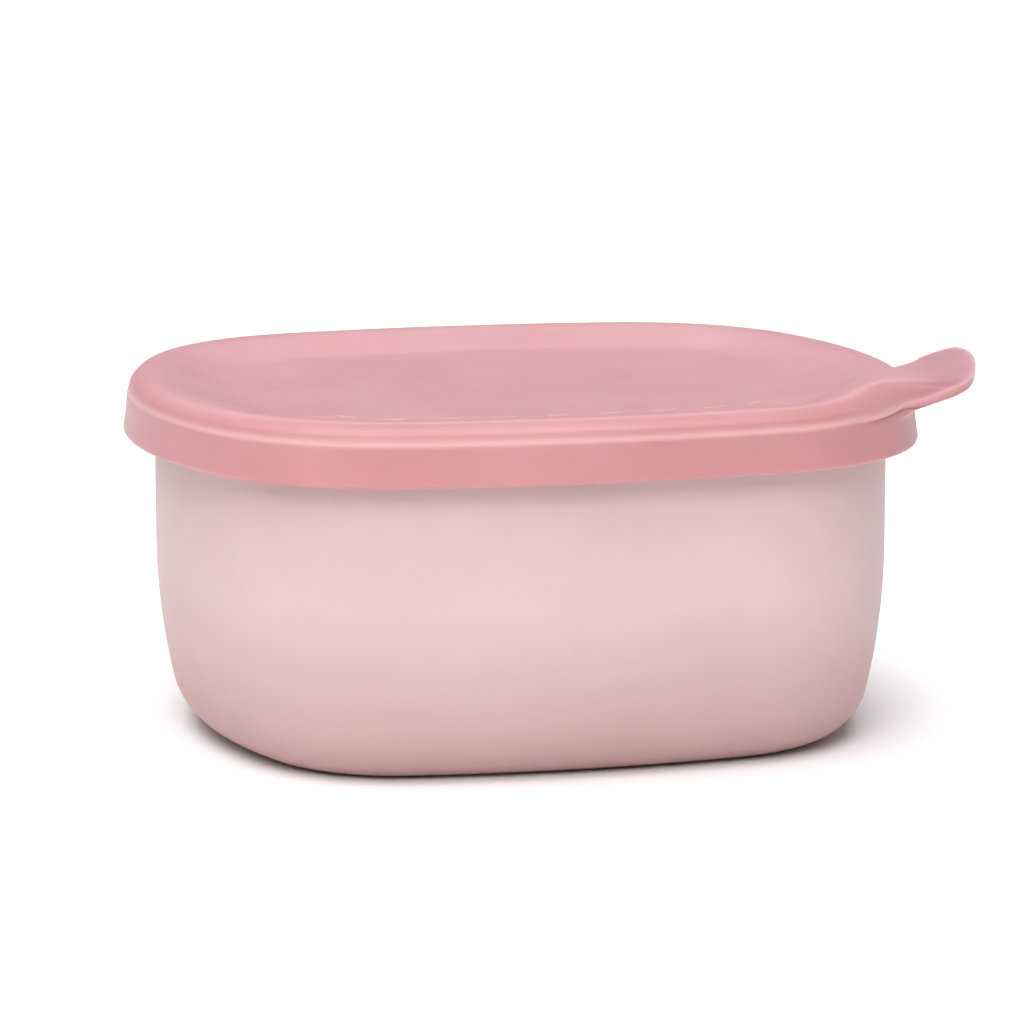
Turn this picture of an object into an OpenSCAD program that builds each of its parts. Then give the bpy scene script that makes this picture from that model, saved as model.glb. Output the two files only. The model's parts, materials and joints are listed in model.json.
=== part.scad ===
// Rounded rectangular storage tub with a press-on lid and a corner pull tab.
// Origin: centre of the flat foot, on the surface the tub stands on. +X runs along the long side, +Z is up.
// Lengths are in millimetres. Wall sections are drawn in (inset, height) pairs, where the inset is
// the distance inwards from the outermost line of the lid's skirt.

/* [Outline] */
// Overall length of the closed lid, tab excluded
lid_length = 184; // [176:1:196]
// Overall width of the closed lid
lid_width = 160; // [152:1:172]
// Radius of the four corners at the lid's skirt
corner_r = 52; // [44:1:56]
// How far each long side bows out past its corners
long_bow = 2.7; // [1:0.1:6]
// How far each short side bows out past its corners
short_bow = 5; // [2:0.1:8]

/* [Tub] */
// Height of the closed tub, from the foot to the crest of the lid
closed_height = 83.2; // [76:0.2:96]
// Thickness of the tub's walls and base
tub_wall = 3; // [2.4:0.1:3.4]
// Inset of the tub's upright wall from the lid's skirt
wall_inset = 7.3; // [7:0.1:7.6]
// Height above the foot at which the wall starts to turn in
turn_height = 44.5; // [40:0.5:50]
// Angle through which the lower wall turns before the base round
wall_turn = 12.5; // [10:0.5:14]
// Radius of the round between the wall and the foot
base_r = 15; // [12:0.5:17]

/* [Lid] */
// Thickness of the lid
lid_t = 1.9; // [1.6:0.1:2.1]
// Gap between the lid and the tub's rim
fit_gap = 0.1; // [0.05:0.05:0.2]
// Radius of the lid's outer shoulder
shoulder_r = 6.2; // [6:0.1:6.4]
// Radius of the inner side of the lid's crest
crest_r = 3; // [2.8:0.1:3.2]
// Depth of the recessed panel below the crest
panel_drop = 3.8; // [3.6:0.1:4]
// Height of the skirt below the shoulder's centre
skirt_drop = 7.65; // [7:0.05:8]
// Depth of the sealing lip below the panel
seal_drop = 3.6; // [3:0.1:5]

/* [Pull tab] */
// Direction in which the tab points, seen from above
tab_angle = -20; // [-22:1:-10]
// How far the tab reaches past the skirt
tab_reach = 13; // [11:0.5:18]
// Width of the tab
tab_width = 27; // [20:1:28]
// Thickness of the tab
tab_t = 2.4; // [2:0.1:2.8]
// Slope of the tab at its root
tab_slope_root = 16; // [10:1:24]
// Slope of the tab at its tip
tab_slope_tip = 26; // [26:1:60]
// Sideways lean of the tab, raising its far edge
tab_roll = 8; // [0:1:10]
// How far the rim's crest and shoulder rise beside the tab
rim_rise = 2.6; // [1.6:0.1:3]

/* [Hidden] */
$fn = 180;

tub_colour = [0.93, 0.83, 0.82];
lid_colour = [0.88, 0.64, 0.64];

arc_step = 18;       // largest turn between two points of a wall section, in degrees
chord_step = 9;      // largest distance between two points of a wall section

// ---- outline: eight tangent arcs for the four bowed sides and the four corners ----
half_l = lid_length / 2;
half_w = lid_width / 2;
corner_x = half_l - corner_r - short_bow;
corner_y = half_w - corner_r - long_bow;
long_rho = (corner_x * corner_x + long_bow * long_bow) / (2 * long_bow);
short_rho = (corner_y * corner_y + short_bow * short_bow) / (2 * short_bow);
long_half = atan2(corner_x, long_rho - long_bow);
short_half = atan2(corner_y, short_rho - short_bow);
long_off = corner_y + long_bow - long_rho;
short_off = corner_x + short_bow - short_rho;
corner_sweep = 90 - long_half - short_half;

// Each entry is [centre, radius, start angle, sweep, chords]
OUTLINE = [
    [[short_off, 0], short_rho + corner_r, -short_half, 2 * short_half, 8],
    [[corner_x, corner_y], corner_r, short_half, corner_sweep, 8],
    [[0, long_off], long_rho + corner_r, 90 - long_half, 2 * long_half, 4],
    [[-corner_x, corner_y], corner_r, 90 + long_half, corner_sweep, 8],
    [[-short_off, 0], short_rho + corner_r, 180 - short_half, 2 * short_half, 8],
    [[-corner_x, -corner_y], corner_r, 180 + short_half, corner_sweep, 8],
    [[0, -long_off], long_rho + corner_r, 270 - long_half, 2 * long_half, 4],
    [[corner_x, -corner_y], corner_r, 270 + long_half, corner_sweep, 8]
];

// ---- heights and insets of the rim, shared by the lid and the tub ----
crest_inset = shoulder_r + 0.5;
shoulder_z = closed_height - shoulder_r;
crest_z = closed_height - crest_r;
panel_z = closed_height - panel_drop;
panel_under_z = panel_z - lid_t;
inner_lean = 15;                       // lean of the crest's inner wall from the vertical
panel_fillet = 1.5;
under_fillet = 2;
flange_turn = 170;                     // where the shoulder ends in the flange edge
flange_round = 0.5;
flange_lip = 0.4;                      // how far the flange edge stands out past the skirt's top
skirt_z = shoulder_z - skirt_drop;
seal_t = 1.5;
seal_gap = 0.25;                       // between the sealing lip and the tub's wall

// ---- tub section ----
turn_r = (turn_height - base_r * (1 - sin(wall_turn))) / sin(wall_turn);
turn_inset = wall_inset + turn_r;
base_inset = turn_inset - (turn_r - base_r) * cos(wall_turn);
rim_under_z = shoulder_z - 1;
rim_fillet = 1.8;
rim_edge_round = 0.9;
rim_r = shoulder_r - lid_t - fit_gap;
rim_crest_r = crest_r - lid_t - fit_gap;

// ---- pull tab ----
root_gap = 0.15;                       // clearance between the tab's root and the lid
ear_reach = 1.4;                       // how far the lid's ear stands out past the skirt
ear_half = tab_width / 2 + 1;          // half the length of the ear's straight face
ear_fade = 4;                          // length over which the ear runs back into the rim
rise_at = -10;                         // highest point of the risen rim, across from the tab's root
rise_near = 26;                        // spread of the rise on the side towards the corner
rise_far = 24;                         // and on the other side
root_r = tab_t / 2;
hinge_x = ear_reach + root_gap + root_r;
hinge_z = shoulder_z + 6;
tab_run = tab_reach - hinge_x;
tab_bend_r = tab_run / (sin(tab_slope_tip) - sin(tab_slope_root));
tab_out = [cos(tab_angle), sin(tab_angle)];
tab_side = [-tab_out.y, tab_out.x];
tab_arc = -tab_angle < short_half ? OUTLINE[0] : OUTLINE[7];
tab_root = tab_arc[0] + tab_arc[1] * tab_out;

function steps(r, sweep) = max(ceil(abs(sweep) / arc_step), ceil(r * abs(sweep) * PI / 180 / chord_step));

// Points along an arc, from angle a0 to angle a1, both ends included
function arc(centre, r, a0, a1) =
    let (n = steps(r, a1 - a0))
    [for (i = [0:n]) centre + r * [cos(a0 + (a1 - a0) * i / n), sin(a0 + (a1 - a0) * i / n)]];

// Outline as one closed loop of points, offset inwards
function outline_points(inset) =
    [for (a = OUTLINE) for (i = [0:a[4] - 1])
        let (t = a[2] + a[3] * i / a[4])
        a[0] + (a[1] - inset) * [cos(t), sin(t)]];

// Moves a point of the rim out to the straight face that carries the tab
function eared(p) =
    let (reach = (p - tab_root) * tab_out,
         across = abs((p - tab_root) * tab_side),
         share = min(1, max(0, (ear_half + ear_fade - across) / ear_fade)))
    reach > -3 * ear_fade ? p + tab_out * max(0, ear_reach - reach) * share : p;

// How far the rim rises at a point of the outline
function rise(p) =
    let (across = (p - tab_root) * tab_side - rise_at,
         spread = across < 0 ? rise_near : rise_far)
    (p - tab_root) * tab_out > -corner_r ? rim_rise * exp(-pow(abs(across) / spread, 3)) : 0;

// Points of one ring: a section point is [inset, height, kind]. Kind 1 rises with the rim beside the tab,
// and kind 2 also moves out to the tab's ear
function ring(p) =
    [for (q = outline_points(p[0]))
        let (e = p[2] == 2 ? eared(q) : q)
        [e.x, e.y, p[1] + (p[2] > 0 ? rise(q) : 0)]];

function of_kind(kind, points) = [for (p = points) [p.x, p.y, kind]];

// Centre of the fillet that joins the crest's leaning inner wall to a level at height z
function fillet_centre(wall_r, fillet_r, z) =
    let (start = [crest_inset + wall_r * cos(inner_lean), crest_z + wall_r * sin(inner_lean)],
         drop = start.y - z - fillet_r * (1 - sin(inner_lean)),
         along = drop / cos(inner_lean))
    [start.x + along * sin(inner_lean) + fillet_r * cos(inner_lean), z + fillet_r];

// A closed shell: the section swept round the outline, with a flat face inside its first and last rings
module shell(section) {
    rings = [for (p = section) ring(p)];
    n = len(rings[0]);
    last = len(rings) - 1;
    polyhedron(
        points = [for (r = rings) each r],
        faces = concat(
            [[for (j = [0:n - 1]) j]],
            [for (i = [0:last - 1]) for (j = [0:n - 1])
                let (k = (j + 1) % n)
                [i * n + j, (i + 1) * n + j, (i + 1) * n + k, i * n + k]],
            [[for (j = [n - 1:-1:0]) last * n + j]]));
}

// The round inside the tub's mouth, and the inset of the rim's inner edge
mouth_r = under_fillet + fit_gap;
mouth = fillet_centre(rim_crest_r, mouth_r, panel_under_z - fit_gap);
rim_inner = max(wall_inset + tub_wall, mouth.x + 0.1);

function tub_section() =
    let (rim_edge = crest_inset - rim_r + rim_edge_round)
    of_kind(0, concat(
        arc([base_inset, base_r], base_r, 270, 180 + wall_turn),
        arc([turn_inset, turn_height], turn_r, 180 + wall_turn, 180),
        arc([wall_inset - rim_fillet, rim_under_z - rim_fillet], rim_fillet, 0, 90),
        arc([rim_edge, rim_under_z + rim_edge_round], rim_edge_round, 270, 180),
        arc([crest_inset, shoulder_z], rim_r, 180, 90),
        arc([crest_inset, crest_z], rim_crest_r, 90, inner_lean),
        arc(mouth, mouth_r, 180 + inner_lean, 270),
        [[rim_inner, panel_under_z - fit_gap]],
        arc([turn_inset, turn_height], turn_r - tub_wall, 180, 180 + wall_turn),
        arc([base_inset, base_r], base_r - tub_wall, 180 + wall_turn, 270)
    ));

function lid_section() =
    let (dome = [crest_inset, shoulder_z],
         crest = [crest_inset, crest_z],
         crest_under = fillet_centre(crest_r - lid_t, under_fillet, panel_under_z),
         edge_r = lid_t / 2,
         flange_r = shoulder_r - flange_round,
         flange_centre = dome + flange_r * [cos(flange_turn), sin(flange_turn)],
         skirt_top = [flange_centre.x - flange_round + flange_lip, flange_centre.y - 2 * flange_round],
         seal_x = rim_inner + seal_gap)
    concat(
        of_kind(0, concat(
            [[seal_x + seal_t, panel_under_z]],
            arc([seal_x + seal_t / 2, panel_under_z - seal_drop + seal_t / 2], seal_t / 2, 360, 180),
            [[seal_x, panel_under_z]],
            arc(crest_under, under_fillet, 270, 180 + inner_lean),
            arc(crest, crest_r - lid_t, inner_lean, 90),
            arc(dome, shoulder_r - lid_t, 90, 180),
            arc([edge_r, skirt_z + edge_r], edge_r, 360, 180))),
        of_kind(1, [skirt_top]),
        of_kind(2, concat(
            arc(flange_centre, flange_round, 270, flange_turn),
            arc(dome, shoulder_r, flange_turn - arc_step, 90 + arc_step))),
        of_kind(1, arc(crest, crest_r, 90, inner_lean)),
        of_kind(0, arc(fillet_centre(crest_r, panel_fillet, panel_z), panel_fillet, 180 + inner_lean, 270))
    );

// Side view of the tab: a round root, then a strip that curves upwards
module tab_strip() {
    centre = [-tab_bend_r * sin(tab_slope_root), tab_bend_r * cos(tab_slope_root)];
    circle(r = root_r);
    polygon(concat(
        arc(centre, tab_bend_r + root_r, 270 + tab_slope_root, 270 + tab_slope_tip),
        arc(centre, tab_bend_r - root_r, 270 + tab_slope_tip, 270 + tab_slope_root)));
}

// Tab seen from above: straight at the root, with two round corners at the tip
module tab_plan() {
    half = tab_width / 2;
    end = tab_run + root_r * sin(tab_slope_tip);
    corner = min(half - 0.5, 0.85 * end);
    back = -root_r - 1;
    for (side = [-1, 1])
        translate([end - corner, side * (half - corner)])
            circle(r = corner);
    translate([back, -half])
        square([end - corner - back, tab_width]);
    translate([end - corner, corner - half])
        square([corner, tab_width - 2 * corner]);
}

module tub() {
    color(tub_colour)
        shell(tub_section());
}

module lid() {
    color(lid_colour)
        shell(lid_section());
}

module pull_tab() {
    color(lid_colour)
        translate([tab_root.x, tab_root.y, hinge_z])
            rotate(tab_angle)
                translate([hinge_x, 0, 0])
                    rotate([tab_roll, 0, 0])
                        intersection() {
                            translate([0, 0, -20])
                                linear_extrude(40)
                                    tab_plan();
                            rotate([90, 0, 0])
                                linear_extrude(2 * tab_width, center = true)
                                    tab_strip();
                        }
}

tub();
lid();
pull_tab();
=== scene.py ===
"""Looks for the rounded storage tub with its press-on silicone lid and pull tab."""
import json
import math

import bpy
import numpy as np
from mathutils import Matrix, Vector


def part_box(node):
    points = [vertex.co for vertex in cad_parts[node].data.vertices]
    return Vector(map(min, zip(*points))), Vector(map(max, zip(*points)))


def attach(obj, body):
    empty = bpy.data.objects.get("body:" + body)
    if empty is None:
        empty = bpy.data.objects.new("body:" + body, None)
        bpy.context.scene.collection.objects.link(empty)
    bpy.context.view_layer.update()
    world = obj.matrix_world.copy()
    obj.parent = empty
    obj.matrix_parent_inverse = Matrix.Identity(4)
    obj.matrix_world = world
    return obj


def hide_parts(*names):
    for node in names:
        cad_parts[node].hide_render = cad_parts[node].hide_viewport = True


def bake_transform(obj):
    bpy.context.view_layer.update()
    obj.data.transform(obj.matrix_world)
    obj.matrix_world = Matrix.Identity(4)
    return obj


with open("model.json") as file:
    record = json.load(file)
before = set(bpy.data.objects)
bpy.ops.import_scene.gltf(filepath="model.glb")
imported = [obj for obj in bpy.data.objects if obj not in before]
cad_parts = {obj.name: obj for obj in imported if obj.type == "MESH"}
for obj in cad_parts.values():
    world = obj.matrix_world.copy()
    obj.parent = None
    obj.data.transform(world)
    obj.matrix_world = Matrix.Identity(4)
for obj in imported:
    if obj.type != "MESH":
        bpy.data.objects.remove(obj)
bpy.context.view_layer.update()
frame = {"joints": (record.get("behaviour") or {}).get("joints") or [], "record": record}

MM = 0.001

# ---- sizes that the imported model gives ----
lid_low, lid_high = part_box("lid")
mounts = {m["name"]: m for m in frame["record"]["mounts"]}
tab_joint = next(j for j in frame["joints"] if j["name"] == "tab_flex")

HALF_L = -lid_low.x
HALF_W = lid_high.y
SKIRT_Z = lid_low.z
PANEL_Z = mounts["lid_panel"]["pos_m"][2]
HINGE = Vector(tab_joint["pos_m"])

# ---- outline of the lid's skirt, seen from above ----
CORNER_R = 52 * MM
LONG_BOW = 2.7 * MM
SHORT_BOW = 5 * MM
STATIONS = 640
OUTLINE_STEPS = 4000        # fine steps from which the stations are picked
TAB_CROWDING = 1.6          # stations are this much denser at the tab
TAB_CROWDING_SPAN = 26 * MM

# ---- lid section, as insets from the skirt's outermost line ----
LID_T = 1.9 * MM
CREST_TOP = PANEL_Z + 3.8 * MM
SHOULDER_R = 6.2 * MM
CREST_R = 3 * MM
CREST_INSET = SHOULDER_R + 0.5 * MM
SHOULDER_Z = CREST_TOP - SHOULDER_R
CREST_Z = CREST_TOP - CREST_R
PANEL_UNDER_Z = PANEL_Z - LID_T
INNER_LEAN = 15
UNDER_FILLET = 2 * MM
FLANGE_TURN = 170
FLANGE_ROUND = 0.5 * MM
FLANGE_LIP = 0.2 * MM       # how far the flange's edge stands out from the skirt's top
SKIRT_FLARE = 1.6           # exponent of the skirt's widening towards its foot
SKIRT_GRIP = 0.35 * MM      # how far the skirt thickens, this far below the shoulder's centre
SKIRT_GRIP_DROP = 3 * MM
SEAL_T = 1.5 * MM
SEAL_DROP = 3.6 * MM
SEAL_GAP = 0.25 * MM
FIT_GAP = 0.1 * MM

# ---- tub section ----
TUB_WALL = 3 * MM
WALL_INSET = 7.3 * MM
TURN_Z = 44.5 * MM
WALL_TURN = 12.5
BASE_R = 15 * MM
RIM_UNDER_Z = SHOULDER_Z - 1 * MM
RIM_FILLET = 1.8 * MM
RIM_EDGE_ROUND = 0.9 * MM
MOUTH_TURN = 262            # angle at which the mouth's fillet ends
MOUTH_ROUND = 0.6 * MM      # rounding where the mouth meets the inner wall
MOUTH_DROP = 0.9 * MM
FOOT_LAND = 7 * MM          # width of the foot's flat ring
FOOT_RECESS = 0.6 * MM      # depth of the shallow recess inside it
FOOT_EASE = 0.15            # share of the recess's depth in each of its two rounded ends

# ---- pull tab: plan sizes from its root on the flange, heights of its top face ----
TAB_ANGLE = math.radians(-20)
TAB_OUT = np.array([math.cos(TAB_ANGLE), math.sin(TAB_ANGLE)])
TAB_SIDE = np.array([-TAB_OUT[1], TAB_OUT[0]])
TAB_REACH = 13.7 * MM
TAB_HALF = 14 * MM
TAB_SQUARENESS = 3.0        # exponent of the tongue's superellipse
TAB_SPAN_NEAR = 40 * MM     # length of rim that flows into the tongue, clockwise of its root
TAB_SPAN_FAR = 20 * MM      # and anticlockwise of it
TAB_ROOT_ROUND = 3.6 * MM   # spread of the rounding where tongue and rim meet
TONGUE_STEPS = 300          # points on the tongue's outline
LOOP_STEPS = 600            # and on the run of rim with the tongue in it
ROOT_WINDOW = 60            # reach of the rounding, in those points
TAB_ROOT_Z = 82.6 * MM      # height of the face's plane at the root
TAB_SLOPE = 0.485           # outward slope of the face
TAB_SLOPE_CURVE = -13       # how much it grows per metre outwards
TAB_BANK = 0.255            # sideways slope of the face, within this distance of the tab's middle
TAB_BANK_TO = 12 * MM
TAB_BANK_CURVE = 4.6        # how much the slope grows per metre across
TAB_FADE_NEAR = 0.5         # share of the near span over which the tab's lift fades out
TAB_FADE_FAR = 0.2          # and of the far span
TAB_T = 2.7 * MM
TAB_THICKEN_OVER = 5 * MM   # outward distance over which the edge takes on that thickness
TAB_SIDE_STEEP = 1.6        # how suddenly the edge's rings spread over the thickness
RIM_RISE = 2.6 * MM         # how far the rim rises towards the tab
RIM_RISE_AT = -10 * MM      # place of the highest point, along the rim from the tab's root
RIM_RISE_NEAR = 27 * MM     # distances over which it falls again, clockwise
RIM_RISE_FAR = 20 * MM      # and anticlockwise
LIFT_ROUND = 0.8 * MM       # softness of the line where the face leaves the rim
UNDER_KNEE_OUT = 0.15       # bend of the tab's underside, as shares of the way from skirt to edge
UNDER_KNEE_UP = 0.6
UNDER_RINGS = 14
TAB_SHADE_START = -9 * MM        # outward from the hinge, where the tab's painted shade sets in
TAB_SHADE_SPAN = 13 * MM         # and the distance over which it does

# ---- the shoulder's run up onto the tab ----
TAB_FALL_OVER = 3 * MM      # drop of the tab's face below the crest that gives the full bend
TAB_FALL_BEND = 1.7         # exponent of that bend

# ---- smoothing of the lid's rings ----
RIDGE_SPREAD = 9            # stations over which the ridge beside the tab is rounded
SOFT_PASSES = 160           # rounding of the flange's edge away from the tab
SOFT_BELOW = 5              # rings below the edge's underside that it takes in
SOFT_ABOVE = 7              # and rings of the shoulder
SOFT_UNTIL = 1.2 * MM       # where the tab stands out this far, its edge stays crisp
FLANGE_HIGHLIGHT_RINGS = 3.5            # spread of the painted highlight line on the flange's edge, in rings
SKIRT_FOOT_HIGHLIGHT_RINGS = 2.0      # and at the skirt's foot

# ---- top of the lid: a shallow dish inside the crest ----
DISH_WIDTH = 20 * MM
DISH_STEPS = 14
PANEL_SAG = 0.35 * MM
# Rings that close the panel and the tub's floor, as shares of the ring that they start from.
PANEL_SHARES = [0.97, 0.93, 0.86, 0.75, 0.6, 0.45, 0.3, 0.15, 0.06]
FLOOR_SHARES = [0.92, 0.8, 0.6, 0.4, 0.2, 0.08]

# ---- a row of short raised ribs along the front of the panel ----
RIB_INSET = 34 * MM
RIB_PITCH = 12 * MM
RIB_HALF_LENGTH = 3.2 * MM
RIB_HALF_WIDTH = 0.6 * MM
RIB_HEIGHT = 0.15 * MM
RIB_END = 0.08              # width and height left at a rib's ends, as a share
RIB_LENGTH_STEPS = 11
RIB_BOW_STEPS = 7
RIB_PAINTED_HIGHLIGHT = 0.5              # ribs carry this share of the thin edges' painted highlight
RIB_DEPTH = 0.6 * MM        # how far a rib's base reaches below the panel's level
RIB_FRONT = -0.35           # ribs are where the outline's normal points further forward than this


# ---------------------------------------------------------------- shapes
ARC_STEP = 2.5 * MM         # longest step along an arc


def smooth(t):
    """Goes from 0 to 1 as t does, with level ends."""
    t = np.clip(t, 0, 1)
    return t * t * (3 - 2 * t)


def arc(centre, r, start, end, step=6):
    """Points along an arc of a section, angles in degrees, both ends included."""
    turn = abs(end - start)
    count = max(2, int(turn / step) + 1, int(r * math.radians(turn) / ARC_STEP) + 1)
    angles = np.radians(np.linspace(start, end, count))
    return [(centre[0] + r * math.cos(a), centre[1] + r * math.sin(a)) for a in angles]


def outline_arcs():
    """The skirt's outline as eight tangent arcs, anticlockwise from +X: centre, radius, start and sweep."""
    corner_x = HALF_L - CORNER_R - SHORT_BOW
    corner_y = HALF_W - CORNER_R - LONG_BOW
    long_rho = (corner_x ** 2 + LONG_BOW ** 2) / (2 * LONG_BOW)
    short_rho = (corner_y ** 2 + SHORT_BOW ** 2) / (2 * SHORT_BOW)
    long_half = math.atan2(corner_x, long_rho - LONG_BOW)
    short_half = math.atan2(corner_y, short_rho - SHORT_BOW)
    long_off = corner_y + LONG_BOW - long_rho
    short_off = corner_x + SHORT_BOW - short_rho
    quarter = math.pi / 2
    corner = quarter - long_half - short_half
    long_r, short_r = long_rho + CORNER_R, short_rho + CORNER_R
    return [
        ((short_off, 0), short_r, -short_half, 2 * short_half),
        ((corner_x, corner_y), CORNER_R, short_half, corner),
        ((0, long_off), long_r, quarter - long_half, 2 * long_half),
        ((-corner_x, corner_y), CORNER_R, quarter + long_half, corner),
        ((-short_off, 0), short_r, 2 * quarter - short_half, 2 * short_half),
        ((-corner_x, -corner_y), CORNER_R, 2 * quarter + short_half, corner),
        ((0, -long_off), long_r, 3 * quarter - long_half, 2 * long_half),
        ((corner_x, -corner_y), CORNER_R, 3 * quarter + long_half, corner),
    ]


def outline():
    """Stations round the skirt: points, outward normals and distances from the tab along the outline."""
    arcs = outline_arcs()
    total = sum(r * sweep for _, r, _, sweep in arcs)
    tab_along = arcs[0][1] * (TAB_ANGLE - arcs[0][2])
    fine = np.linspace(-total / 2, total / 2, OUTLINE_STEPS)
    density = np.cumsum(1 + TAB_CROWDING * np.exp(-(fine / TAB_CROWDING_SPAN) ** 2))
    wanted = np.linspace(density[0], density[-1], STATIONS + 1)[:-1]
    from_tab = np.interp(wanted, density, fine)
    points, normals = [], []
    for u in from_tab:
        along = (u + tab_along) % total
        for centre, r, start, sweep in arcs:
            if along <= r * sweep:
                break
            along -= r * sweep
        a = start + along / r
        normals.append((math.cos(a), math.sin(a)))
        points.append((centre[0] + r * math.cos(a), centre[1] + r * math.sin(a)))
    return np.array(points), np.array(normals), from_tab


def fillet_centre(wall_r, fillet_r, z):
    """Centre of the fillet between the crest's leaning inner wall and a level at height z."""
    lean = math.radians(INNER_LEAN)
    x = CREST_INSET + wall_r * math.cos(lean)
    drop = CREST_Z + wall_r * math.sin(lean) - z - fillet_r * (1 - math.sin(lean))
    return x + drop * math.tan(lean) + fillet_r * math.cos(lean), z + fillet_r


def rings_of(section, points, normals):
    """One ring of 3-D points for each (inset, height) of a section."""
    rings = []
    for inset, z in section:
        xy = points - inset * normals
        rings.append(np.column_stack([xy, np.full(len(xy), z)]))
    return rings


def closing_rings(ring, shares, sag=0.0):
    """Rings that close a shell towards its middle; sag lowers the middle a little."""
    out = []
    for share in shares:
        inner = ring.copy()
        inner[:, :2] *= share
        inner[:, 2] -= sag * (1 - share ** 2)
        out.append(inner)
    return out


def mesh_piece(name, verts, faces):
    mesh = bpy.data.meshes.new(name)
    mesh.from_pydata(verts, [], faces)
    mesh.validate()
    mesh.update()
    mesh.shade_smooth()
    piece = bpy.data.objects.new(name, mesh)
    bpy.context.collection.objects.link(piece)
    return piece


def store(piece, name, values):
    """Stores one value per vertex for the materials."""
    piece.data.attributes.new(name, "FLOAT", "POINT").data.foreach_set("value", values)


def shell(name, rings, low_centre, high_centre):
    """A closed mesh: rings joined in order, with a fan at each end."""
    n = len(rings[0])
    verts = [tuple(low_centre)] + [tuple(p) for r in rings for p in r] + [tuple(high_centre)]
    last = len(verts) - 1
    faces = [(0, 1 + (j + 1) % n, 1 + j) for j in range(n)]
    for i in range(len(rings) - 1):
        a, b = 1 + i * n, 1 + (i + 1) * n
        for j in range(n):
            k = (j + 1) % n
            faces.append((a + j, a + k, b + k, b + j))
    top = 1 + (len(rings) - 1) * n
    faces += [(top + j, top + (j + 1) % n, last) for j in range(n)]
    return mesh_piece(name, verts, faces)


# ---------------------------------------------------------------- pieces
def tub_section():
    """The tub's section as one run, from the foot up the outside, over the rim and down the inside."""
    turn = math.radians(WALL_TURN)
    turn_r = (TURN_Z - BASE_R * (1 - math.sin(turn))) / math.sin(turn)
    turn_inset = WALL_INSET + turn_r
    base_inset = turn_inset - (turn_r - BASE_R) * math.cos(turn)
    rim_r = SHOULDER_R - LID_T - FIT_GAP
    rim_crest_r = CREST_R - LID_T - FIT_GAP
    rim_edge = CREST_INSET - rim_r + RIM_EDGE_ROUND
    mouth_r = UNDER_FILLET + FIT_GAP
    mouth = fillet_centre(rim_crest_r, mouth_r, PANEL_UNDER_Z - FIT_GAP)
    land = base_inset + FOOT_LAND
    foot = [
        (land + 2 * FOOT_RECESS, FOOT_RECESS),
        (land + FOOT_RECESS, FOOT_RECESS * (1 - FOOT_EASE)),
        (land, FOOT_RECESS * FOOT_EASE),
        (land - FOOT_RECESS, 0),
    ]
    wall_in = WALL_INSET + TUB_WALL
    wall_in_top = PANEL_UNDER_Z - MOUTH_DROP - MOUTH_ROUND
    return (
        foot
        + arc((base_inset, BASE_R), BASE_R, 270, 180 + WALL_TURN, 4)
        + arc((turn_inset, TURN_Z), turn_r, 180 + WALL_TURN, 180)[1:]
        + [(WALL_INSET, z) for z in np.linspace(TURN_Z, RIM_UNDER_Z - RIM_FILLET, 10)[1:-1]]
        + arc((WALL_INSET - RIM_FILLET, RIM_UNDER_Z - RIM_FILLET), RIM_FILLET, 0, 90)
        + arc((rim_edge, RIM_UNDER_Z + RIM_EDGE_ROUND), RIM_EDGE_ROUND, 270, 180)
        + arc((CREST_INSET, SHOULDER_Z), rim_r, 180, 90)
        + arc((CREST_INSET, CREST_Z), rim_crest_r, 90, INNER_LEAN)[1:]
        + arc(mouth, mouth_r, 180 + INNER_LEAN, MOUTH_TURN)
        + arc((wall_in - MOUTH_ROUND, PANEL_UNDER_Z - MOUTH_DROP), MOUTH_ROUND, 60, 0, 15)
        + [(wall_in, z) for z in np.linspace(wall_in_top, TURN_Z, 10)[:-1]]
        + arc((turn_inset, TURN_Z), turn_r - TUB_WALL, 180, 180 + WALL_TURN)
        + arc((base_inset, BASE_R), BASE_R - TUB_WALL, 180 + WALL_TURN, 270, 5)[1:]
    )


def make_tub():
    points, normals, _ = outline()
    rings = rings_of(tub_section(), points, normals)
    under = closing_rings(rings[0], FLOOR_SHARES)[::-1]
    inside = closing_rings(rings[-1], FLOOR_SHARES)
    return shell("tub_body", under + rings + inside, (0, 0, FOOT_RECESS), (0, 0, TUB_WALL))


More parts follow.
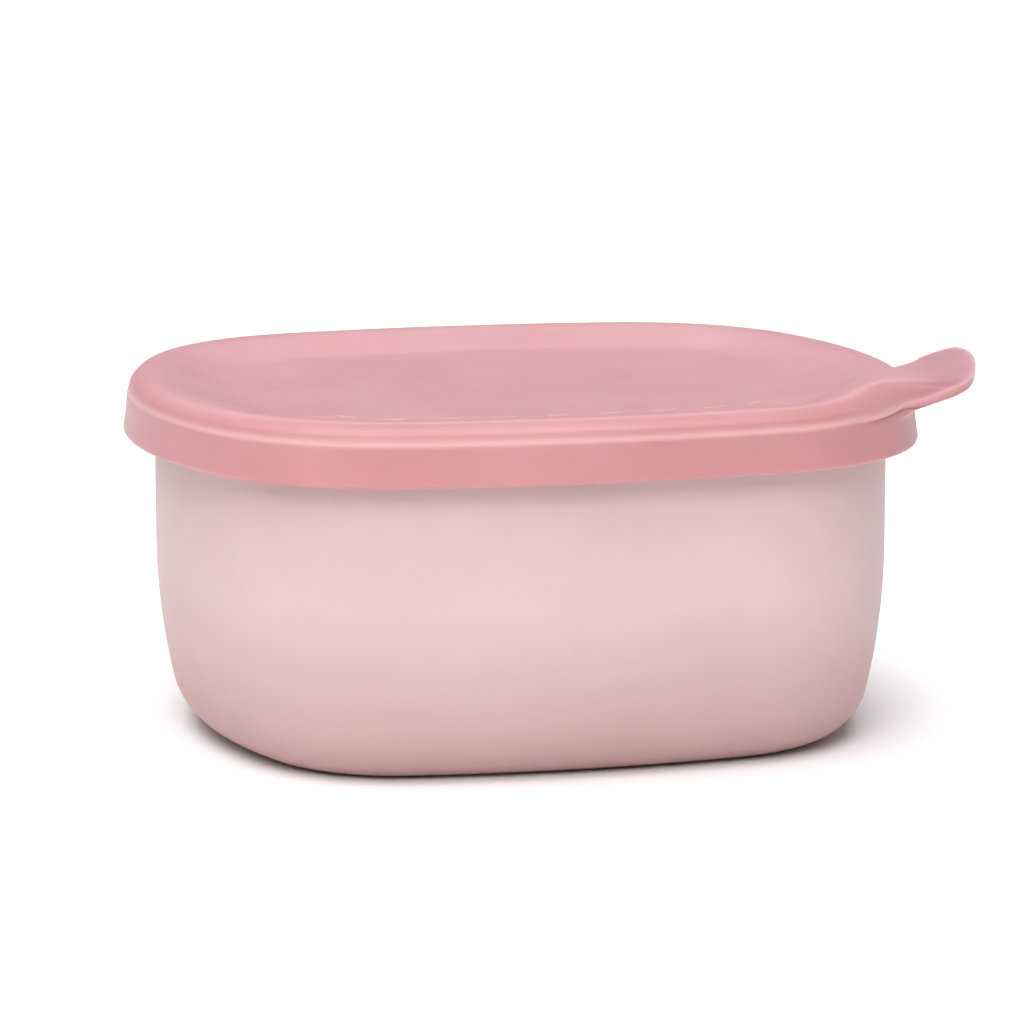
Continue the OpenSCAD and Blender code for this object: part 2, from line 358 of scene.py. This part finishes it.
def lid_sections():
    """The lid's section in four runs: all below the flange's edge, the edge, the shoulder and the crown."""
    turn = math.radians(FLANGE_TURN)
    seal_x = WALL_INSET + TUB_WALL + SEAL_GAP
    edge_r = LID_T / 2
    flange = (
        CREST_INSET + (SHOULDER_R - FLANGE_ROUND) * math.cos(turn),
        SHOULDER_Z + (SHOULDER_R - FLANGE_ROUND) * math.sin(turn),
    )
    skirt_top = (flange[0] - FLANGE_ROUND + FLANGE_LIP, flange[1] - 2 * FLANGE_ROUND)
    flare = [
        (skirt_top[0] * (1 - s ** SKIRT_FLARE), skirt_top[1] + (SKIRT_Z + edge_r - skirt_top[1]) * s)
        for s in np.linspace(1, 0, 12)
    ]
    seal_r = SEAL_T / 2
    under = fillet_centre(CREST_R - LID_T, UNDER_FILLET, PANEL_UNDER_Z)
    below = (
        [(seal_x + SEAL_T, PANEL_UNDER_Z)]
        + arc((seal_x + seal_r, PANEL_UNDER_Z - SEAL_DROP + seal_r), seal_r, 360, 180, 20)
        + [(seal_x, PANEL_UNDER_Z)]
        + arc(under, UNDER_FILLET, 270, 180 + INNER_LEAN, 12)
        + arc((CREST_INSET, CREST_Z), CREST_R - LID_T, INNER_LEAN, 90, 15)
        + arc((CREST_INSET, SHOULDER_Z), SHOULDER_R - LID_T, 90, 180, 9)[1:]
        + [(LID_T + SKIRT_GRIP, SHOULDER_Z - SKIRT_GRIP_DROP)]
        + arc((edge_r, SKIRT_Z + edge_r), edge_r, 360, 180, 12)
        + flare[1:]
    )
    edge = arc(flange, FLANGE_ROUND, 265, FLANGE_TURN, 12)
    shoulder = arc((CREST_INSET, SHOULDER_Z), SHOULDER_R, FLANGE_TURN, 90, 4)[1:-1]
    crown = [
        (CREST_INSET + DISH_WIDTH * t, CREST_TOP - (CREST_TOP - PANEL_Z) * smooth(t))
        for t in np.linspace(0, 1, DISH_STEPS + 1)
    ]
    return below, edge, shoulder, crown


def tongue_loop(across, reach):
    """The rim with the tongue's superellipse in place of its middle, as distances across and outwards."""
    turn = np.linspace(-math.pi / 2, math.pi / 2, TONGUE_STEPS)
    tip_a = TAB_HALF * np.sign(turn) * np.abs(np.sin(turn)) ** (2 / TAB_SQUARENESS)
    tip_r = TAB_REACH * np.abs(np.cos(turn)) ** (2 / TAB_SQUARENESS)
    tip_r += np.interp(tip_a, across, reach) * (1 - tip_r / TAB_REACH)
    low, high = across < -TAB_HALF, across > TAB_HALF
    loop_a = np.concatenate([across[low], tip_a, across[high]])
    loop_r = np.concatenate([reach[low], tip_r, reach[high]])
    return loop_a, loop_r


def rounded(values, step, ends):
    """Values of a run averaged over the root rounding's spread, and kept as they are at the run's ends."""
    kernel = np.exp(-0.5 * (np.arange(-ROOT_WINDOW, ROOT_WINDOW + 1) * step / TAB_ROOT_ROUND) ** 2)
    kernel /= kernel.sum()
    soft = np.convolve(np.pad(values, ROOT_WINDOW, "reflect", reflect_type="odd"), kernel, "valid")
    return values + (soft - values) * ends


def tongue(edge, from_tab):
    """Moves the flange edge's stations onto the tongue: offsets in plan, and distances out and across."""
    root = edge[np.argmin(np.abs(from_tab))]
    part = (from_tab >= -TAB_SPAN_NEAR) & (from_tab <= TAB_SPAN_FAR)
    rim = edge[part] - root
    reach, across = rim @ TAB_OUT, rim @ TAB_SIDE
    order = np.argsort(across)
    loop_a, loop_r = tongue_loop(across[order], reach[order])
    length = np.concatenate([[0], np.cumsum(np.hypot(np.diff(loop_a), np.diff(loop_r)))])
    even = np.linspace(0, length[-1], LOOP_STEPS)
    ends = smooth(np.minimum(even, even[-1] - even) / (3 * TAB_ROOT_ROUND))
    loop_a = rounded(np.interp(even, length, loop_a), even[1], ends)
    loop_r = rounded(np.interp(even, length, loop_r), even[1], ends)
    place = np.interp(from_tab[part], [-TAB_SPAN_NEAR, TAB_SPAN_FAR], [0, even[-1]])
    new_a, new_r = np.interp(place, even, loop_a), np.interp(place, even, loop_r)
    offset = np.zeros_like(edge)
    offset[part] = np.outer(new_r - reach, TAB_OUT) + np.outer(new_a - across, TAB_SIDE)
    moved = edge + offset - root
    return offset, moved @ TAB_OUT, moved @ TAB_SIDE


def soften(rings, share, passes):
    """Evens out a run of rings where the share is 1 and leaves it as it is where the share is 0."""
    run = np.array(rings)
    for _ in range(passes):
        even = 0.5 * run[1:-1] + 0.25 * (run[:-2] + run[2:])
        run[1:-1] += share[:, None] * (even - run[1:-1])
    return list(run)


def along_rim(values, spread):
    """Values of the stations averaged with their neighbours, for a spread counted in stations."""
    reach = 3 * spread
    kernel = np.exp(-0.5 * (np.arange(-reach, reach + 1) / spread) ** 2)
    return np.convolve(np.pad(values, reach, "wrap"), kernel / kernel.sum(), "valid")


def under_tab(start, end):
    """Rings of the tab's underside: up out of the skirt's top, then out to the tab's lower edge."""
    knee = start + UNDER_KNEE_OUT * (end - start)
    knee[:, 2] = start[:, 2] + UNDER_KNEE_UP * (end[:, 2] - start[:, 2])
    steps = np.linspace(0, 1, UNDER_RINGS + 2)[1:-1]
    return [(1 - t) ** 2 * start + 2 * t * (1 - t) * knee + t ** 2 * end for t in steps]


def rim_rise(from_tab):
    """How far each station of the rim rises near the tab."""
    from_top = from_tab - RIM_RISE_AT
    span = np.where(from_top < 0, RIM_RISE_NEAR, RIM_RISE_FAR)
    return RIM_RISE * np.exp(-np.abs(from_top / span) ** 3)


def tab_share(from_tab):
    """How much of the tab's lift each station takes: 1 at the tab, and 0 beyond both of its roots."""
    near = smooth((1 + from_tab / TAB_SPAN_NEAR) / TAB_FADE_NEAR)
    far = smooth((1 - from_tab / TAB_SPAN_FAR) / TAB_FADE_FAR)
    return near * far


def tab_face(reach, across, rim_z):
    """Heights of the tab's top face, which slopes up, banks sideways and never drops below the rim."""
    aside = np.clip(across, -TAB_BANK_TO, TAB_BANK_TO)
    face_z = TAB_ROOT_Z + reach * (TAB_SLOPE + TAB_SLOPE_CURVE * reach)
    face_z += aside * (TAB_BANK + TAB_BANK_CURVE * aside)
    return rim_z + 0.5 * (face_z - rim_z + np.hypot(face_z - rim_z, LIFT_ROUND))


def raise_edge(rings, offset, lift):
    """Draws the flange edge's rings out along the tab and spreads them over its thickness."""
    thick = smooth(offset @ TAB_OUT / TAB_THICKEN_OVER) * (TAB_T - 2 * FLANGE_ROUND)
    for i, ring in enumerate(rings):
        down = smooth(0.5 + TAB_SIDE_STEEP * (0.5 - i / (len(rings) - 1)))
        ring[:, :2] += offset
        ring[:, 2] += lift - thick * down


def raise_shoulder(rings, insets, edge_inset, offset, crest_z, face_z, share):
    """Runs the shoulder's rings from the crest out onto the tab's face, and rounds the ridge beside it."""
    fall = smooth((crest_z - face_z) / TAB_FALL_OVER)
    for inset, ring in zip(insets, rings):
        w = (CREST_INSET - inset) / (CREST_INSET - edge_inset)
        slope = w + fall * (w ** TAB_FALL_BEND - w)
        tab_z = crest_z + (face_z - crest_z) * slope
        ring[:, :2] += offset * w
        ring[:, 2] += share * (tab_z - ring[:, 2])
        ring[:, 2] += 4 * w * (1 - w) * (along_rim(ring[:, 2], RIDGE_SPREAD) - ring[:, 2])


def make_lid():
    points, normals, from_tab = outline()
    below, edge, shoulder, crown = lid_sections()
    rise = rim_rise(from_tab)
    share = tab_share(from_tab)
    flange_top = rings_of([edge[-1]], points, normals)[0]
    offset, reach, across = tongue(flange_top[:, :2], from_tab)
    rim_z = flange_top[:, 2] + rise
    face_z = tab_face(reach, across, rim_z)

    below_rings, edge_rings, shoulder_rings, crown_rings = (
        rings_of(part, points, normals) for part in (below, edge, shoulder, crown)
    )
    raise_edge(edge_rings, offset, rise + share * (face_z - rim_z))
    for ring in shoulder_rings:
        ring[:, 2] += rise
    insets = [inset for inset, _ in shoulder]
    raise_shoulder(shoulder_rings, insets, edge[-1][0], offset, CREST_TOP + rise, face_z, share)
    for (_, z), ring in zip(crown, crown_rings):
        ring[:, 2] += rise * (1 - smooth((CREST_TOP - z) / (CREST_TOP - PANEL_Z)))

    under_rings = under_tab(below_rings[-1], edge_rings[0])
    rings = below_rings + under_rings + edge_rings + shoulder_rings + crown_rings
    edge_end = len(below_rings) + len(under_rings) + len(edge_rings)
    softness = (1 - rise / RIM_RISE) * (1 - smooth(offset @ TAB_OUT / SOFT_UNTIL))
    first, last = len(below_rings) - SOFT_BELOW, edge_end + SOFT_ABOVE
    rings[first:last] = soften(rings[first:last], softness, SOFT_PASSES)

    inner = closing_rings(rings[0], PANEL_SHARES)[::-1]
    panel = closing_rings(rings[-1], PANEL_SHARES, PANEL_SAG)
    piece = shell("lid_cover", inner + rings + panel, (0, 0, PANEL_UNDER_Z), (0, 0, PANEL_Z - PANEL_SAG))
    skirt_foot = min(range(len(below)), key=lambda i: below[i][1])
    # painted highlight lines along the flange's edge and the skirt's foot
    pale = {len(inner) + edge_end - 2: FLANGE_HIGHLIGHT_RINGS, len(inner) + skirt_foot: SKIRT_FOOT_HIGHLIGHT_RINGS}
    mark_painted_highlights(piece, len(points), pale)
    # painted shade on the tab
    mark_tab_painted_shade(piece)
    return piece


def mark_painted_highlights(piece, stations, edges):
    """Stores how near each ring is to one of the painted highlight lines on the thin edges, given as ring
    number and spread in rings.
    """
    count = (len(piece.data.vertices) - 2) // stations
    rings = np.zeros(count)
    for at, spread in edges.items():
        rings = np.maximum(rings, np.exp(-((np.arange(count) - at) / spread) ** 2))
    values = np.concatenate([[0], np.repeat(rings, stations), [0]])
    store(piece, "painted_highlight_share", values)


def mark_tab_painted_shade(piece):
    """Stores how far out on the tab each point is, which sets the strength of the tab's painted shade."""
    root = HINGE.x * TAB_OUT[0] + HINGE.y * TAB_OUT[1]
    out = np.array([v.co.x * TAB_OUT[0] + v.co.y * TAB_OUT[1] for v in piece.data.vertices])
    values = smooth((out - root - TAB_SHADE_START) / TAB_SHADE_SPAN)
    store(piece, "tab_shade_share", values)


def rib_section(taper):
    """A rib's section as distances aside and heights: a bow on a base that reaches below the panel."""
    half = RIB_HALF_WIDTH * taper
    low = PANEL_Z - RIB_DEPTH
    bow = [
        (half * math.cos(b), PANEL_Z + RIB_HEIGHT * taper * math.sin(b))
        for b in np.linspace(0, math.pi, RIB_BOW_STEPS)
    ]
    return [(half, low)] + bow + [(-half, low)]


def make_ribs():
    """A row of short low ribs along the front of the panel."""
    points, normals, _ = outline()
    line = points - RIB_INSET * normals
    line = np.vstack([line, line[:1]])
    along = np.concatenate([[0], np.cumsum(np.hypot(*np.diff(line, axis=0).T))])
    facing = np.append(normals[:, 1], normals[0, 1])
    count = int(along[-1] / RIB_PITCH)
    corners = RIB_BOW_STEPS + 2
    verts, faces = [], []
    for centre in (np.arange(count) + 0.5) * along[-1] / count:
        if np.interp(centre, along, facing) > RIB_FRONT:
            continue
        base = len(verts)
        for t in np.linspace(-1, 1, RIB_LENGTH_STEPS):
            at = centre + t * RIB_HALF_LENGTH
            here = np.array([np.interp(at, along, line[:, k]) for k in (0, 1)])
            ahead = np.array([np.interp(at + MM, along, line[:, k]) for k in (0, 1)]) - here
            aside = np.array([-ahead[1], ahead[0]]) / np.hypot(*ahead)
            taper = max(RIB_END, (1 - t ** 4) ** 0.5)
            verts += [(*(here + aside * w), z) for w, z in rib_section(taper)]
        for i in range(RIB_LENGTH_STEPS - 1):
            a, b = base + i * corners, base + (i + 1) * corners
            for j in range(corners):
                k = (j + 1) % corners
                faces.append((a + j, b + j, b + k, a + k))
        faces.append(tuple(range(base, base + corners)))
        faces.append(tuple(reversed(range(len(verts) - corners, len(verts)))))
    piece = mesh_piece("panel_ribs", verts, faces)
    # painted highlight on the ribs
    store(piece, "painted_highlight_share", np.full(len(verts), RIB_PAINTED_HIGHLIGHT))
    return piece


# ---------------------------------------------------------------- materials
def srgb(r, g, b):
    """Linear colour of an 8-bit display colour."""
    return tuple(((c / 255 + 0.055) / 1.055) ** 2.4 for c in (r, g, b)) + (1.0,)


FOOT_PAINTED_SHADE = 0.6             # strength of each painted shade and painted highlight where it is strongest
EDGE_PAINTED_HIGHLIGHT = 0.5
TAB_PAINTED_SHADE = 0.7
# colours of the painted shade at the foot, the painted highlight on thin edges and the painted shade on the
# tab
FOOT_SHADE_COLOUR = srgb(176, 128, 122)
EDGE_HIGHLIGHT_COLOUR = srgb(240, 200, 196)
TAB_SHADE_COLOUR = srgb(160, 108, 120)
FOOT_SHADE_HEIGHT = 40 * MM       # the painted shade at the foot starts this high and grows darker downwards

CLOUD_SCALE = 28            # scales of the noises behind the clouded colour, the gloss and the grain
GLOSS_SCALE = 90
GRAIN_SCALE = 900
GRAIN_DEPTH = 0.12 * MM
GRAIN_STRENGTH = 0.08
SILICONE_IOR = 1.41


def node(tree, kind, **values):
    made = tree.nodes.new(kind)
    for key, value in values.items():
        if key in made.inputs:
            made.inputs[key].default_value = value
        else:
            setattr(made, key, value)
    return made


def mix_colour(tree, a, b, factor):
    """A colour socket that goes from a to b as the factor socket goes from 0 to 1."""
    made = node(tree, "ShaderNodeMix", data_type="RGBA")
    for name, value in (("A", a), ("B", b)):
        if isinstance(value, tuple):
            made.inputs[name].default_value = value
        else:
            tree.links.new(value, made.inputs[name])
    tree.links.new(factor, made.inputs["Factor"])
    return made.outputs["Result"]


def remap(tree, value, low, high, to_low=0.0, to_high=1.0):
    """A value socket stretched from one range to another."""
    made = node(tree, "ShaderNodeMapRange")
    for name, number in (("From Min", low), ("From Max", high), ("To Min", to_low), ("To Max", to_high)):
        made.inputs[name].default_value = number
    tree.links.new(value, made.inputs["Value"])
    return made.outputs["Result"]


def noise(tree, place, scale, detail):
    """Cloudy values round 0.5, in the piece's own coordinates."""
    made = node(tree, "ShaderNodeTexNoise", Scale=scale, Detail=detail, Roughness=0.58)
    tree.links.new(place.outputs["Object"], made.inputs["Vector"])
    return made.outputs["Fac"]


def silicone(name, base, shade, glow, scatter, scatter_radius, roughness, specular, translucency, tint):
    """Satin silicone: soft scattering, a cloudy colour, moulded grain and slightly glossier patches."""
    material = bpy.data.materials.new(name)
    material.use_nodes = True
    tree = material.node_tree
    tree.nodes.clear()
    link = tree.links.new
    place = node(tree, "ShaderNodeTexCoord")
    cloud = remap(tree, noise(tree, place, CLOUD_SCALE, 3), 0.35, 0.65)
    # the tint adds the piece's painted shade and painted highlights
    colour = tint(tree, place, mix_colour(tree, base, shade, cloud))
    gloss = remap(tree, noise(tree, place, GLOSS_SCALE, 4), 0.3, 0.7, roughness - 0.05, roughness + 0.06)
    bump = node(tree, "ShaderNodeBump", Strength=GRAIN_STRENGTH, Distance=GRAIN_DEPTH)
    link(noise(tree, place, GRAIN_SCALE, 2), bump.inputs["Height"])
    skin = node(tree, "ShaderNodeBsdfPrincipled", IOR=SILICONE_IOR)
    skin.inputs["Subsurface Weight"].default_value = scatter
    skin.inputs["Subsurface Radius"].default_value = scatter_radius
    skin.inputs["Subsurface Scale"].default_value = 1.0
    skin.inputs["Specular IOR Level"].default_value = specular
    link(colour, skin.inputs["Base Color"])
    link(gloss, skin.inputs["Roughness"])
    link(bump.outputs["Normal"], skin.inputs["Normal"])
    through = node(tree, "ShaderNodeBsdfTranslucent", Color=glow)
    link(bump.outputs["Normal"], through.inputs["Normal"])
    mix = node(tree, "ShaderNodeMixShader", Fac=translucency)
    link(skin.outputs["BSDF"], mix.inputs[1])
    link(through.outputs["BSDF"], mix.inputs[2])
    output = node(tree, "ShaderNodeOutputMaterial")
    link(mix.outputs["Shader"], output.inputs["Surface"])
    return material


def foot_painted_shade(tree, place, colour):
    """Painted shade: a darker, deeper pink towards the foot."""
    split = node(tree, "ShaderNodeSeparateXYZ")
    tree.links.new(place.outputs["Object"], split.inputs["Vector"])
    low = remap(tree, split.outputs["Z"], FOOT_SHADE_HEIGHT, 0.0, 0.0, FOOT_PAINTED_SHADE)
    return mix_colour(tree, colour, FOOT_SHADE_COLOUR, low)


def edge_highlight_and_tab_shade(tree, place, colour):
    """Painted highlight: paler along the thin edges and the ribs; painted shade: darker mauve on the tab."""
    tints = (("tab_shade_share", TAB_SHADE_COLOUR, TAB_PAINTED_SHADE), ("painted_highlight_share", EDGE_HIGHLIGHT_COLOUR, EDGE_PAINTED_HIGHLIGHT))
    for name, tint_colour, strength in tints:
        stored = node(tree, "ShaderNodeAttribute", attribute_name=name)
        colour = mix_colour(tree, colour, tint_colour, remap(tree, stored.outputs["Fac"], 0, 1, 0, strength))
    return colour


def tub_silicone():
    return silicone(
        "tub_silicone",
        base=srgb(213, 188, 186),
        shade=srgb(209, 183, 181),
        glow=srgb(250, 200, 190),
        scatter=0.35,
        scatter_radius=(3.0 * MM, 1.6 * MM, 1.3 * MM),
        roughness=0.5,
        specular=0.2,
        translucency=0.02,
        # painted shade towards the foot
        tint=foot_painted_shade,
    )


def lid_silicone():
    return silicone(
        "lid_silicone",
        base=srgb(202, 148, 149),
        shade=srgb(198, 142, 143),
        glow=srgb(240, 165, 145),
        scatter=0.5,
        scatter_radius=(3.0 * MM, 1.4 * MM, 1.1 * MM),
        roughness=0.34,
        specular=0.3,
        translucency=0.12,
        # painted highlight on thin edges and painted shade on the tab
        tint=edge_highlight_and_tab_shade,
    )


# ---------------------------------------------------------------- stage
FLOOR_HALF = 12.0           # half of the floor's side, in metres
FLOOR_TONES = (0.94, 0.96)  # darkest and palest paper fibres
WORLD_COLOUR = (0.97, 0.98, 1, 1)
WORLD_FRONT, WORLD_BACK = 0.25, 0.4
WORLD_FROM, WORLD_TO = -0.2, 0.9    # the direction's Y between which the strength changes
SKY_POWER = 2.7
SKY_SPREAD = math.radians(60)
SKY_COLOUR = (0.97, 0.97, 1)
SKY_DIRECTION = (0.12, 0.1, -0.98)
FRONT_POWER = 8.8
BACK_POWER = 3
SHEEN_POWER = 6


def make_floor():
    """A wide sheet of pale paper under the part."""
    corners = [(-1, -1), (1, -1), (1, 1), (-1, 1)]
    mesh = bpy.data.meshes.new("floor")
    mesh.from_pydata([(x * FLOOR_HALF, y * FLOOR_HALF, 0) for x, y in corners], [], [(0, 1, 2, 3)])
    floor = bpy.data.objects.new("floor", mesh)
    bpy.context.collection.objects.link(floor)
    material = bpy.data.materials.new("floor_paper")
    material.use_nodes = True
    tree = material.node_tree
    skin = tree.nodes["Principled BSDF"]
    skin.inputs["Roughness"].default_value = 0.9
    skin.inputs["Specular IOR Level"].default_value = 0.1
    fibres = node(tree, "ShaderNodeTexNoise", Scale=400, Detail=2)
    tone = node(tree, "ShaderNodeMix", data_type="RGBA")
    for name, grey in zip("AB", FLOOR_TONES):
        tone.inputs[name].default_value = (grey, grey, grey, 1)
    tree.links.new(fibres.outputs["Fac"], tone.inputs["Factor"])
    tree.links.new(tone.outputs["Result"], skin.inputs["Base Color"])
    mesh.materials.append(material)


def area_light(name, place, aim, size, watts, colour=(1, 1, 1), gloss_only=False):
    """A soft rectangular light; one that is gloss only shows in reflections and lights nothing else."""
    data = bpy.data.lights.new(name, "AREA")
    data.shape = "RECTANGLE"
    data.size, data.size_y = size
    data.energy = watts
    data.color = colour
    light = bpy.data.objects.new(name, data)
    light.location = place
    light.visible_diffuse = not gloss_only
    light.visible_transmission = not gloss_only
    light.rotation_mode = "QUATERNION"
    light.rotation_quaternion = (Vector(aim) - Vector(place)).to_track_quat("-Z", "Y")
    bpy.context.collection.objects.link(light)


def make_world():
    """Pale surroundings, brighter behind the tub than in front of it."""
    world = bpy.data.worlds.new("studio")
    world.use_nodes = True
    tree = world.node_tree
    place = node(tree, "ShaderNodeTexCoord")
    split = node(tree, "ShaderNodeSeparateXYZ")
    tree.links.new(place.outputs["Generated"], split.inputs["Vector"])
    strength = remap(tree, split.outputs["Y"], WORLD_FROM, WORLD_TO, WORLD_FRONT, WORLD_BACK)
    tree.nodes["Background"].inputs["Color"].default_value = WORLD_COLOUR
    tree.links.new(strength, tree.nodes["Background"].inputs["Strength"])
    bpy.context.scene.world = world


def make_sky():
    """A very wide soft light from above."""
    data = bpy.data.lights.new("sky", "SUN")
    data.energy = SKY_POWER
    data.color = SKY_COLOUR
    data.angle = SKY_SPREAD
    sky = bpy.data.objects.new("sky", data)
    sky.rotation_mode = "QUATERNION"
    sky.rotation_quaternion = Vector(SKY_DIRECTION).to_track_quat("-Z", "Y")
    bpy.context.collection.objects.link(sky)


def make_lights():
    make_world()
    make_sky()
    area_light("front", place=(-0.36, -1, 0.8), aim=(0, 0, 0.05), size=(0.8, 0.5), watts=FRONT_POWER)
    area_light(
        "back", place=(0.15, 1, 0.8), aim=(0, 0, 0.08), size=(1.2, 0.5), watts=BACK_POWER,
        colour=(0.93, 0.93, 1),
    )
    area_light(
        "sheen", place=(-0.06, -0.24, 1.07), aim=(0, 0, 0.08), size=(1, 0.25), watts=SHEEN_POWER,
        colour=(0.9, 0.9, 1), gloss_only=True,
    )


# ---------------------------------------------------------------- camera
CAMERA_DISTANCE = 1.1
CAMERA_ELEVATION = math.radians(12.84)
CAMERA_TURN = math.radians(13.81)
CAMERA_ZOOM = 4.21          # picture units per millimetre at the object's distance
CAMERA_AIM = (-0.0016, -0.0004, 0.0492)
SENSOR = 36
PICTURE = 1024


def make_camera():
    """A long lens in front of the part, turned a little to its left and slightly above it."""
    back = Vector((
        -math.sin(CAMERA_TURN) * math.cos(CAMERA_ELEVATION),
        -math.cos(CAMERA_TURN) * math.cos(CAMERA_ELEVATION),
        math.sin(CAMERA_ELEVATION),
    ))
    data = bpy.data.cameras.new("camera")
    data.sensor_width = SENSOR
    data.lens = CAMERA_ZOOM * CAMERA_DISTANCE / MM * SENSOR / PICTURE
    camera = bpy.data.objects.new("camera", data)
    camera.location = back * CAMERA_DISTANCE
    camera.rotation_mode = "QUATERNION"
    camera.rotation_quaternion = (Vector(CAMERA_AIM) - camera.location).to_track_quat("-Z", "Y")
    data.clip_start, data.clip_end = 0.05, 20
    bpy.context.collection.objects.link(camera)
    bpy.context.scene.camera = camera


make_camera()
make_floor()
make_lights()
bpy.context.scene.view_settings.view_transform = "Standard"

tub = make_tub()
tub.data.materials.append(tub_silicone())
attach(tub, "tub")
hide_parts("tub")

lid = make_lid()
lid.data.materials.append(lid_silicone())
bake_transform(lid)
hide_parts("lid", "pull_tab")

ribs = make_ribs()
ribs.data.materials.append(lid.data.materials[0])
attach(ribs, "lid")
